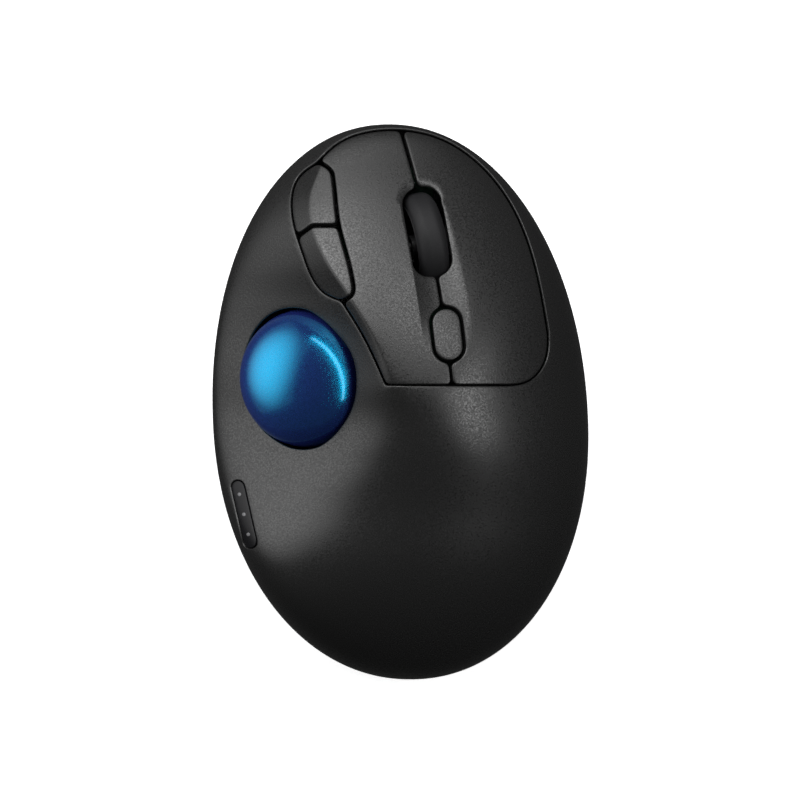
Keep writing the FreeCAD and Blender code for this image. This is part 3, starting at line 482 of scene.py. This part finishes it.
def edge_rows(top, lean, loop, ids, field, bevel, wall):
    """Rows of points from a plate's top round its rounded edge and down its side."""
    up = normals(loop[:, 0], loop[:, 1])
    out = np.concatenate([outward(loop, field), np.zeros((len(loop), 1))], 1)
    out -= up * (out * up).sum(1, keepdims=True)
    out /= np.linalg.norm(out, axis=1, keepdims=True)
    rows = rounded(top[ids], out, up, bevel)
    return rows + [rows[-1] - lean[ids] * wall[:, None]]


def closed(name, top, under, faces, edges, body, slot, replaced):
    """Joins a plate's top and underside through the rows of points round each of its loops."""
    points, rings = [top, under], [faces, faces[:, ::-1] + len(top)]
    total = 2 * len(top)
    for ids, rows in edges:
        previous = ids
        for row in rows:
            points.append(row)
            here = np.arange(total, total + len(row))
            total += len(row)
            rings.append(strip(previous, here))
            previous = here
        rings.append(strip(previous, ids + len(top)))
    quads = [tuple(f) for ring in rings for f in ring]
    return make_mesh(name, np.concatenate(points), quads, body, slot, replaced)


def rounded(edge, out, up, radius):
    """Rows of points round an edge of that radius, from the top to the side."""
    return [edge + out * radius * math.sin(a) - up * radius * (1 - math.cos(a)) for a in ROUND_STEPS]


def strip(a, b):
    """Quads between two closed rings of the same length."""
    return np.stack([a, b, np.roll(b, -1), np.roll(a, -1)], 1)


def split_gap(y):
    """Half the gap between the keys, which is wider ahead of the wheel."""
    return 0.28 + 0.1 * smoothstep((y - 28) / 24)


# Gaps round the keys: from the casing, from the side keys, round the speed key, from the side keys' own
# outline, half the cut between them, and at the wheel's right.
KEY_GAP, SIDE_GAP, SPEED_GAP, SIDE_INSET, HALF_CUT, WHEEL_GAP = 0.35, 0.55, 0.7, 0.3, 0.4, 0.2


def left_key(x, y):
    f = both(key_field(x, y) + KEY_GAP, split_field(x, y) + split_gap(y))
    f = both(f, SIDE_GAP - side_field(x, y))
    f = both(f, -slot_hole(x, y))
    return both(f, SPEED_GAP - speed_field(x, y))


def right_key(x, y):
    f = both(key_field(x, y) + KEY_GAP, split_gap(y) - split_field(x, y))
    f = both(f, WHEEL_GAP - slot_hole(x, y))
    return both(f, SPEED_GAP - speed_field(x, y))


def side_cut(x, y):
    """Signed distance from the bent cut between the side keys, positive ahead of it."""
    slope = np.where(x < SIDE_CUT_X, SIDE_CUT_SLOPE, 0.0)
    return (y - SIDE_CUT_Y - slope * (x - SIDE_CUT_X)) / np.sqrt(1 + slope * slope)


def forward_key(x, y):
    return both(side_field(x, y) + SIDE_INSET, HALF_CUT - side_cut(x, y))


def back_key(x, y):
    return both(side_field(x, y) + SIDE_INSET, side_cut(x, y) + HALF_CUT)


SPEED_SINK, SPEED_PROUD, SPEED_TILT = 0.8, 0.3, 0.05


def speed_key_z(x, y):
    """The speed key's face runs straight across the channel, a little proud of it, tilted to the left."""
    level = casing_z(x, y, carved=False) - SPEED_SINK * channel_depth(y)
    return level + SPEED_PROUD + SPEED_TILT * (x - SPEED_X)


def make_keys():
    low, high = (-29, 2), (38, 69)
    plate("left_key_cap", left_key, low, high, "left_key", "key_black", ["left_button"], crest=(3, 64),
          flank=True)
    plate("right_key_cap", right_key, low, high, "right_key", "key_black", ["right_button"], flank=True)
    plate("forward_key_cap", forward_key, (-29, 35), (-10, 61), "forward_key", "key_black",
          ["forward_button"], crest=(35, 61))
    plate("back_key_cap", back_key, (-29, 22), (-8, 45), "back_key", "key_black", ["back_button"],
          crest=(22, 45))
    plate("speed_key_cap", speed_field, (4, 6), (19, 27), "speed_key", "key_black", ["speed_button"],
          height=speed_key_z)


def top_casing():
    """The palm and thumb casing with the key window, the ball's opening and the lens slot."""
    bevel, thick, least_wall = 0.3, 2.0, 0.15
    grid_step, grid_share, rays = 0.8, 0.893, 760

    def openings(x, y):
        return np.maximum(np.maximum(-key_field(x, y), -ball_field(x, y)), -lens_field(x, y))

    loops = []
    for field, low, high in ((lambda x, y: -key_field(x, y), (-30, 1), (39, 70)),
                             (lambda x, y: -ball_field(x, y), (-45, -14), (-4, 26)),
                             (lambda x, y: -lens_field(x, y), (-46, -40), (-30, -15))):
        found = contours(field, -bevel, low, high, CONTOUR_STEP)
        loops += [(relaxed(even(loop, 0.42)), field) for loop in found]
    angles = np.linspace(0, 2 * math.pi, rays + 1)[:-1]
    rim = even(rim_points(angles), 0.55)
    rows = []
    shares = (0.9994, 0.998, 0.9955, 0.992, 0.987, 0.98, 0.97, 0.957, 0.943, 0.929, 0.915, 0.9)
    for k, s in enumerate(shares):
        row = SUMMIT + (rim - SUMMIT) * s
        rows.append(row[k % 2::2] if s < 0.98 else row)
    grid = staggered((-47, -69), (47, 69), grid_step)
    grid = with_crest(grid[ray_share(grid, rim) < grid_share], 57, 62)
    inner = np.concatenate(rows + [grid])
    inner = inner[openings(inner[:, 0], inner[:, 1]) < -bevel - 0.3]
    base, faces = fill([rim] + [loop for loop, _ in loops], inner)
    x, y = base.T
    top = np.stack([x, y, casing_z(x, y)], 1)
    lean = normals(x, y, CORE_SMOOTHER, False)
    thick = thinned(thick, np.minimum(key_field(x, y), ball_field(x, y)))
    under = top - lean * thick[:, None]
    edges, start = [], len(rim)
    for loop, field in loops:
        ids = np.arange(start, start + len(loop))
        start += len(loop)
        wall = np.maximum(thick[ids] - BEVEL_SHARE * bevel, least_wall)
        edges.append((ids, edge_rows(top, lean, loop, ids, field, bevel, wall)))
    out = rim - SUMMIT
    reach = np.linalg.norm(out, axis=1)
    flat = outward(rim, lambda x, y: egg_share(x, y)[0])

    def tucked(z, inset):
        pull = TUCK * ((RIM_Z - z) / (RIM_Z - BASE_Z)) ** 2
        spot = SUMMIT + out * (1 - pull / reach)[:, None] - flat * inset
        return np.concatenate([spot, np.full((len(rim), 1), z)], 1)

    seam = PARTING_Z + 0.1
    rows = [tucked(z, 0.0) for z in (10.2, 9.4, 8.6, 7.9, seam + 0.3)]
    rows += [tucked(seam + 0.3 * (1 - math.sin(a)), 0.3 * (1 - math.cos(a))) for a in ROUND_STEPS]
    rows += [tucked(seam, 0.8), tucked(8.5, 0.9)]
    edges.append((np.arange(len(rim)), rows))
    return closed("top_casing", top, under, faces, edges, "casing", "shell_black", ["top_shell"])


def ray_share(spots, rim):
    """How far out each point lies from the summit towards the outline."""
    out = rim - SUMMIT
    turn = np.unwrap(np.arctan2(out[:, 1], out[:, 0]))
    if turn[-1] < turn[0]:
        out, turn = out[::-1], turn[::-1]
    reach = np.linalg.norm(out, axis=1)
    mine = spots - SUMMIT
    angle = np.arctan2(mine[:, 1], mine[:, 0])
    angle = turn[0] + np.mod(angle - turn[0], 2 * math.pi)
    full = np.interp(angle, np.append(turn, turn[0] + 2 * math.pi), np.append(reach, reach[0]))
    return np.linalg.norm(mine, axis=1) / full


# ---- turned pieces -----------------------------------------------------------------------------------
def joint(name):
    return next(j for j in frame["joints"] if j["name"] == name)


def make_ball():
    """A smooth sphere made from a finely divided cube, so that its highlights stay even."""
    radius = (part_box("trackball")[1].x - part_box("trackball")[0].x) / 2 / MM
    cuts = 48
    ticks = np.tan(np.linspace(-math.pi / 4, math.pi / 4, cuts + 1))
    index, points, faces = {}, [], []

    def corner(p):
        key = tuple(np.round(p, 9))
        if key not in index:
            index[key] = len(points)
            points.append(np.array(p) / np.linalg.norm(p) * radius + np.array(BALL_C))
        return index[key]

    for axis in range(3):
        for side in (-1, 1):
            for i in range(cuts):
                for j in range(cuts):
                    ring = []
                    for a, b in ((i, j), (i + 1, j), (i + 1, j + 1), (i, j + 1)):
                        p = [0.0, 0.0, 0.0]
                        p[axis], p[(axis + 1) % 3], p[(axis + 2) % 3] = side, ticks[a], ticks[b]
                        ring.append(corner(p))
                    faces.append(ring if side > 0 else ring[::-1])
    make_mesh("ball", points, faces, "thumb_ball", "ball_blue", ["trackball"])


def turned(name, profile, centre, axis, steps, body, slot, replaced):
    """A closed ring turned about an axis from a closed profile of (along the axis, radius) points."""
    axis = Vector(axis).normalized()
    across = axis.cross(Vector((0, 0, 1))).normalized()
    lift = axis.cross(across)
    points, faces, n = [], [], len(profile)
    for k in range(steps):
        angle = 2 * math.pi * k / steps
        way = across * math.cos(angle) + lift * math.sin(angle)
        points += [Vector(centre) + axis * u + way * r for u, r in profile]
        here = k * n
        there = (k + 1) % steps * n
        faces += [(here + i, here + (i + 1) % n, there + (i + 1) % n, there + i) for i in range(n)]
    return make_mesh(name, points, faces, body, slot, replaced)


TYRE_BEAD = [(0.12, 0.1), (0.16, 0.25), (0.1, 0.4), (-0.1, 0.45)]


def make_tyre():
    """Smooth rubber tread with round shoulders and a fine bead along each."""
    spin = joint("wheel_spin")
    centre = np.array(spin["pos_m"]) / MM
    outer, inner, half, shoulder, crown = 12.8, 9.8, 3.65, 2.6, 0.25
    profile = []
    for k in range(25):
        u = (half - shoulder) * (1 - k / 12)
        profile.append((u, outer - crown * (u / half) ** 2))
    low = outer - crown * ((half - shoulder) / half) ** 2
    for k in range(1, 13):
        a = math.pi / 2 * k / 12
        profile.append((-(half - shoulder) - shoulder * math.sin(a), low - shoulder * (1 - math.cos(a))))
    profile += [(-half - proud, low - shoulder - down) for proud, down in TYRE_BEAD]
    profile.append((-half + 0.1, inner))
    profile = profile + [(-u, r) for u, r in reversed(profile) if u < -(half - shoulder) - 1e-9]
    turned("wheel_tread", profile, centre, spin["axis"], 180, "scroll_wheel", "wheel_rubber",
           ["scroll_wheel_tyre"])


# ---- indicator ---------------------------------------------------------------------------------------
LENS_GAP, DOT_RISE, DOT_SPACING = 0.14, 0.02, 5


def make_indicator():
    """Satin window in the thumb wall, with three plain dots printed on it."""
    plate("indicator_window", lens_inset, (-46, -40), (-30, -15), "casing", "smoke_lens",
          ["indicator_lens"], thick=1.4, bevel=0.18, step=0.4, height=lambda x, y: casing_z(x, y) - 0.05)
    turn = math.radians(LENS_TURN)
    points, faces = [], []
    rings = [(0.0, 0.0), (0.3, 0.0), (0.42, -0.03), (0.47, -0.1)]
    spokes = 20
    for k in (-1, 0, 1):
        cx = LENS_X - math.sin(turn) * DOT_SPACING * k
        cy = LENS_Y + math.cos(turn) * DOT_SPACING * k
        start = len(points)
        for radius, drop in rings:
            count = spokes if radius else 1
            for i in range(count):
                a = 2 * math.pi * i / count
                x, y = cx + radius * math.cos(a), cy + radius * math.sin(a)
                points.append((x, y, float(casing_z(np.array([x]), np.array([y]))[0]) + DOT_RISE + drop))
        faces += [(start, start + 1 + i, start + 1 + (i + 1) % spokes) for i in range(spokes)]
        for ring in range(len(rings) - 2):
            a, b = start + 1 + ring * spokes, start + 1 + (ring + 1) * spokes
            faces += [(a + i, b + i, b + (i + 1) % spokes, a + (i + 1) % spokes) for i in range(spokes)]
        last = start + 1 + (len(rings) - 2) * spokes
        faces.append([last + i for i in reversed(range(spokes))])
    make_mesh("indicator_dots", points, faces, "casing", "control_grey")


def lens_inset(x, y):
    return lens_field(x, y) + LENS_GAP


# ---- materials ---------------------------------------------------------------------------------------
def node(tree, kind, **values):
    """A shader node with named inputs set."""
    made = tree.nodes.new("ShaderNode" + kind)
    for name, value in values.items():
        made.inputs[name.replace("_", " ")].default_value = value
    return made


def noise(tree, coords, size, detail=2.0, stretch=None):
    """Noise with features of that size in millimetres, which stays with the piece as it moves."""
    made = node(tree, "TexNoise", Scale=1 / (size * MM), Detail=detail)
    if stretch:
        mapping = node(tree, "Mapping", Scale=stretch)
        tree.links.new(coords, mapping.inputs["Vector"])
        coords = mapping.outputs["Vector"]
    tree.links.new(coords, made.inputs["Vector"])
    return made.outputs["Fac"]


def spread(tree, value, low, high, start=0.3, end=0.7):
    made = node(tree, "MapRange", From_Min=start, From_Max=end, To_Min=low, To_Max=high)
    tree.links.new(value, made.inputs["Value"])
    return made.outputs["Result"]


def between(tree, share, first, second):
    """A colour mixed from two, which are colours or sockets."""
    made = tree.nodes.new("ShaderNodeMix")
    made.data_type = "RGBA"
    tree.links.new(share, made.inputs["Factor"])
    for name, colour in (("A", first), ("B", second)):
        slot = next(i for i in made.inputs if i.name == name and i.type == "RGBA")
        if isinstance(colour, tuple):
            slot.default_value = (*colour, 1)
        else:
            tree.links.new(colour, slot)
    return next(o for o in made.outputs if o.type == "RGBA")


def bump(tree, height, depth):
    """A bump of that depth in millimetres."""
    made = node(tree, "Bump", Distance=depth * MM)
    tree.links.new(height, made.inputs["Height"])
    return made.outputs["Normal"]


def start(name):
    material = bpy.data.materials.new(name)
    material.use_nodes = True
    tree = material.node_tree
    coords = tree.nodes.new("ShaderNodeTexCoord").outputs["Object"]
    return material, tree, coords, tree.nodes["Principled BSDF"]


DRIFT_SIZE = 14.0


def moulded(name, colour, rough, grain=0.45, depth=0.028, vary=0.3, wander=0.16, stretch=None, **constants):
    """A surface with fine grain in its colour, gloss and relief, and slow drifts over it."""
    material, tree, coords, shader = start(name)
    for key, value in constants.items():
        shader.inputs[key.replace("_", " ")].default_value = value
    fine = noise(tree, coords, grain, 3.0, stretch)
    slow = noise(tree, coords, DRIFT_SIZE)
    pale = tuple(c * (1 + vary) for c in colour)
    deep = tuple(c * (1 - vary) for c in colour)
    speck = between(tree, spread(tree, fine, 0, 1), deep, pale)
    drift = between(tree, spread(tree, slow, 0, 0.35), speck, colour)
    tree.links.new(drift, shader.inputs["Base Color"])
    gloss = spread(tree, fine, rough + wander, rough - wander)
    tree.links.new(gloss, shader.inputs["Roughness"])
    tree.links.new(bump(tree, fine, depth), shader.inputs["Normal"])
    return material


def pearl(name):
    """Violet blue paint full of cyan flakes, under a clear polish."""
    material, tree, coords, shader = start(name)
    for key, value in {"IOR": 2.4, "Specular IOR Level": 1.0, "Specular Tint": (0.0, 0.52, 0.86, 1.0),
                       "Coat Weight": 0.35, "Coat Roughness": 0.03, "Coat IOR": 1.45}.items():
        shader.inputs[key].default_value = value
    flakes = node(tree, "TexVoronoi", Scale=1 / (0.26 * MM))
    tree.links.new(coords, flakes.inputs["Vector"])
    split = tree.nodes.new("ShaderNodeSeparateColor")
    tree.links.new(flakes.outputs["Color"], split.inputs["Color"])
    slow = noise(tree, coords, 7.0)
    base = between(tree, split.outputs["Red"], (0.017, 0.018, 0.14), (0.022, 0.038, 0.24))
    drift = between(tree, spread(tree, slow, 0, 0.3), base, (0.019, 0.026, 0.19))
    tree.links.new(drift, shader.inputs["Base Color"])
    tree.links.new(spread(tree, split.outputs["Green"], 0.18, 0.26, 0.0, 1.0), shader.inputs["Roughness"])
    tree.links.new(bump(tree, split.outputs["Blue"], 0.006), shader.inputs["Normal"])
    return material


def board(name):
    """Dark green solder mask over faint tracks."""
    material, tree, coords, shader = start(name)
    shader.inputs["Specular IOR Level"].default_value = 0.3
    tracks = node(tree, "TexBrick", Scale=1 / (5 * MM), Mortar_Size=0.03)
    tree.links.new(coords, tracks.inputs["Vector"])
    fine = noise(tree, coords, 0.4)
    green = between(tree, spread(tree, fine, 0, 1), (0.002, 0.012, 0.006), (0.003, 0.016, 0.008))
    tracked = between(tree, tracks.outputs["Fac"], green, (0.004, 0.026, 0.012))
    tree.links.new(tracked, shader.inputs["Base Color"])
    tree.links.new(spread(tree, fine, 0.42, 0.3), shader.inputs["Roughness"])
    tree.links.new(bump(tree, tracks.outputs["Fac"], 0.03), shader.inputs["Normal"])
    return material


def banded(name, first, second, axis, edges, rough):
    """Two colours that change along one axis, at places in millimetres, with fine grain."""
    material, tree, coords, shader = start(name)
    split = tree.nodes.new("ShaderNodeSeparateXYZ")
    tree.links.new(coords, split.inputs["Vector"])
    share = spread(tree, split.outputs[axis], 0, 1, edges[0] * MM, edges[1] * MM)
    fine = noise(tree, coords, 0.3)
    worn = tuple(c * 0.85 for c in first)
    grained = between(tree, spread(tree, fine, 0, 1), worn, first)
    tree.links.new(between(tree, share, grained, second), shader.inputs["Base Color"])
    tree.links.new(spread(tree, fine, rough + 0.05, rough - 0.05), shader.inputs["Roughness"])
    tree.links.new(bump(tree, fine, 0.004), shader.inputs["Normal"])
    return material


def make_materials():
    """One finish for each of the record's material slots."""
    cell_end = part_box("battery_cell")[1].y / MM - 12
    return {
        "shell_black": moulded("shell_black", (0.012, 0.012, 0.012), 0.345),
        "key_black": moulded("key_black", (0.012, 0.012, 0.012), 0.345),
        "base_black": moulded("base_black", (0.018, 0.018, 0.019), 0.5, grain=0.35, depth=0.015),
        "ball_blue": pearl("ball_blue"),
        "inner_plastic": moulded("inner_plastic", (0.012, 0.012, 0.013), 0.5, grain=0.5),
        "ceramic": moulded("ceramic", (0.86, 0.85, 0.82), 0.15, depth=0.001, vary=0.03, wander=0.03),
        "clear_lens": moulded("clear_lens", (0.85, 0.88, 0.9), 0.08, depth=0.0005, vary=0.02, wander=0.02,
                              Transmission_Weight=0.9),
        "smoke_lens": moulded("smoke_lens", (0.007, 0.007, 0.008), 0.3, grain=0.2, depth=0.002, wander=0.04,
                              Specular_IOR_Level=0.2),
        "chip_black": moulded("chip_black", (0.022, 0.022, 0.024), 0.45, grain=0.12),
        "board_green": board("board_green"),
        "ribbon_amber": moulded("ribbon_amber", (0.6, 0.28, 0.04), 0.3, grain=0.6, stretch=(1, 0.05, 1)),
        "wheel_rubber": moulded("wheel_rubber", (0.010, 0.010, 0.011), 0.6, grain=0.2, depth=0.002,
                                wander=0.05, Specular_IOR_Level=0.25),
        "steel": moulded("steel", (0.6, 0.6, 0.61), 0.3, grain=0.2, depth=0.002, stretch=(0.1, 1, 1),
                         Metallic=1.0),
        "switch_body": moulded("switch_body", (0.03, 0.03, 0.033), 0.4, grain=0.3),
        "switch_stem": moulded("switch_stem", (0.8, 0.8, 0.77), 0.4, vary=0.04),
        "lamp_white": moulded("lamp_white", (0.8, 0.8, 0.72), 0.25, vary=0.05),
        "battery_wrap": banded("battery_wrap", (0.03, 0.10, 0.05), (0.65, 0.45, 0.18), "Y",
                               (cell_end, cell_end + 0.2), 0.25),
        "receiver_black": moulded("receiver_black", (0.02, 0.02, 0.021), 0.35),
        "control_grey": moulded("control_grey", (0.14, 0.14, 0.145), 0.45),
        "foot_grey": moulded("foot_grey", (0.035, 0.035, 0.038), 0.3, grain=0.5, depth=0.004),
    }


def dress():
    """Gives every shown piece and every CAD node the finish of its slot."""
    finishes = make_materials()
    slots = {part["node"]: part["material_slot"] for part in frame["record"]["subparts"]}
    for name, piece in frame["nodes"].items():
        for holder in piece.material_slots:
            holder.material = finishes[slots[name]]
    for piece, slot in PIECES:
        piece.data.materials.append(finishes[slot])


make_keys()
top_casing()
make_ball()
make_tyre()
make_indicator()
dress()


# ---- stage -------------------------------------------------------------------------------------------
def area_light(name, azimuth, elevation, distance, width, height, brightness, core, edge, lit):
    """A soft panel facing the object from that direction, in degrees from +X and above the floor.

    From its core, a share of its half size, it fades to a share of its brightness at its edge. It lights
    only the ball or only the rest.
    """
    across, up = math.radians(azimuth), math.radians(elevation)
    level = math.cos(up)
    place = Vector((level * math.cos(across), level * math.sin(across), math.sin(up))) * distance
    data = bpy.data.lights.new(name, "AREA")
    data.shape = "RECTANGLE"
    data.size, data.size_y = width, height
    data.energy = brightness * math.pi * width * height
    if edge < 1:
        fade(data, core, edge)
    lamp = bpy.data.objects.new(name, data)
    lamp.location = place
    lamp.rotation_euler = (-place).to_track_quat("-Z", "Y").to_euler()
    bpy.context.scene.collection.objects.link(lamp)
    chosen = bpy.data.collections.new(name + "_choice")
    chosen.objects.link(next(piece for piece, _ in PIECES if piece.name == "ball"))
    chosen.collection_objects[0].light_linking.link_state = "INCLUDE" if lit == "ball" else "EXCLUDE"
    lamp.light_linking.receiver_collection = chosen


def fade(data, core, edge):
    """Makes a panel's light fall off from its core to its edge."""
    data.use_nodes = True
    tree = data.node_tree
    spot = tree.nodes.new("ShaderNodeNewGeometry").outputs["Parametric"]
    away = tree.nodes.new("ShaderNodeVectorMath")
    away.operation = "DISTANCE"
    away.inputs[1].default_value = (0.5, 0.5, 0.0)
    tree.links.new(spot, away.inputs[0])
    share = node(tree, "MapRange", From_Min=0.5, From_Max=0.5 * core, To_Min=edge, To_Max=1.0)
    share.interpolation_type = "SMOOTHSTEP"
    tree.links.new(away.outputs["Value"], share.inputs["Value"])
    tree.links.new(share.outputs["Result"], tree.nodes["Emission"].inputs["Strength"])


def make_floor():
    """A white sheet that glows, so that shadows on it stay faint. The plastics don't mirror it."""
    half = 3.0
    mesh = bpy.data.meshes.new("floor")
    corners = [(-half, -half, 0), (half, -half, 0), (half, half, 0), (-half, half, 0)]
    mesh.from_pydata(corners, [], [(0, 1, 2, 3)])
    floor = bpy.data.objects.new("floor", mesh)
    mesh.materials.append(moulded("floor_pale", (0.88, 0.88, 0.88), 0.85, grain=2.0, depth=0.01, vary=0.01,
                                  Emission_Color=(1, 1, 1, 1), Emission_Strength=FLOOR_GLOW))
    bpy.context.scene.collection.objects.link(floor)
    floor.visible_glossy = False
    floor.visible_diffuse = False


def make_world():
    """Dim all round, and white where the camera looks past the floor."""
    world = bpy.data.worlds.new("studio")
    world.use_nodes = True
    tree = world.node_tree
    rays = tree.nodes.new("ShaderNodeLightPath")
    strength = node(tree, "MapRange", To_Min=WORLD, To_Max=1.0)
    tree.links.new(rays.outputs["Is Camera Ray"], strength.inputs["Value"])
    tree.nodes["Background"].inputs["Color"].default_value = (1, 1, 1, 1)
    tree.links.new(strength.outputs["Result"], tree.nodes["Background"].inputs["Strength"])
    bpy.context.scene.world = world
    bpy.context.scene.view_settings.view_transform = "Standard"


WORLD = 0.05
FLOOR_GLOW = 0.8
LIGHTS = [
    # name, azimuth, elevation, distance, width, height, brightness, core, edge, lit
    ("left_panel", 163, 16, 0.65, 2.2, 1.7, 2.7, 0.0, 0.08, "ball"),
    ("left_glow", 158, 24, 0.65, 1.1, 1.1, 2.8, 0.1, 0.0, "rest"),
    ("corner_panel", 120, 40, 1.0, 1.0, 1.0, 2.0, 0.2, 0.2, "rest"),
    ("front_panel", 95, 48, 1.0, 0.95, 1.0, 7.0, 0.0, 0.0, "rest"),
    ("low_front_panel", 100, 15, 1.0, 1.2, 0.5, 2.2, 0.2, 0.2, "rest"),
    ("upper_right_panel", 52, 52, 1.0, 0.5, 0.35, 7.0, 0.3, 0.0, "rest"),
    ("right_panel", 2, 45, 1.0, 0.85, 0.65, 6.8, 0.0, 0.0, "rest"),
    ("right_strip", 27, 40, 0.75, 2.1, 0.09, 6.5, 1.0, 1.0, "ball"),
]


def make_stage():
    make_floor()
    make_world()
    for light in LIGHTS:
        area_light(*light)


def make_camera():
    """Straight above, far off, so that the outline fills the frame as it does from a long lens."""
    distance, span, rim = 3.0, 0.19608, RIM_Z * MM
    middle_x, middle_y = -0.00012, 0.00049
    data = bpy.data.cameras.new("camera")
    data.sensor_width = 36
    data.lens = 36 * (distance - rim) / span
    data.clip_end = 20
    camera = bpy.data.objects.new("camera", data)
    camera.location = (middle_x, middle_y, distance)
    bpy.context.scene.collection.objects.link(camera)
    bpy.context.scene.camera = camera


make_stage()
make_camera()
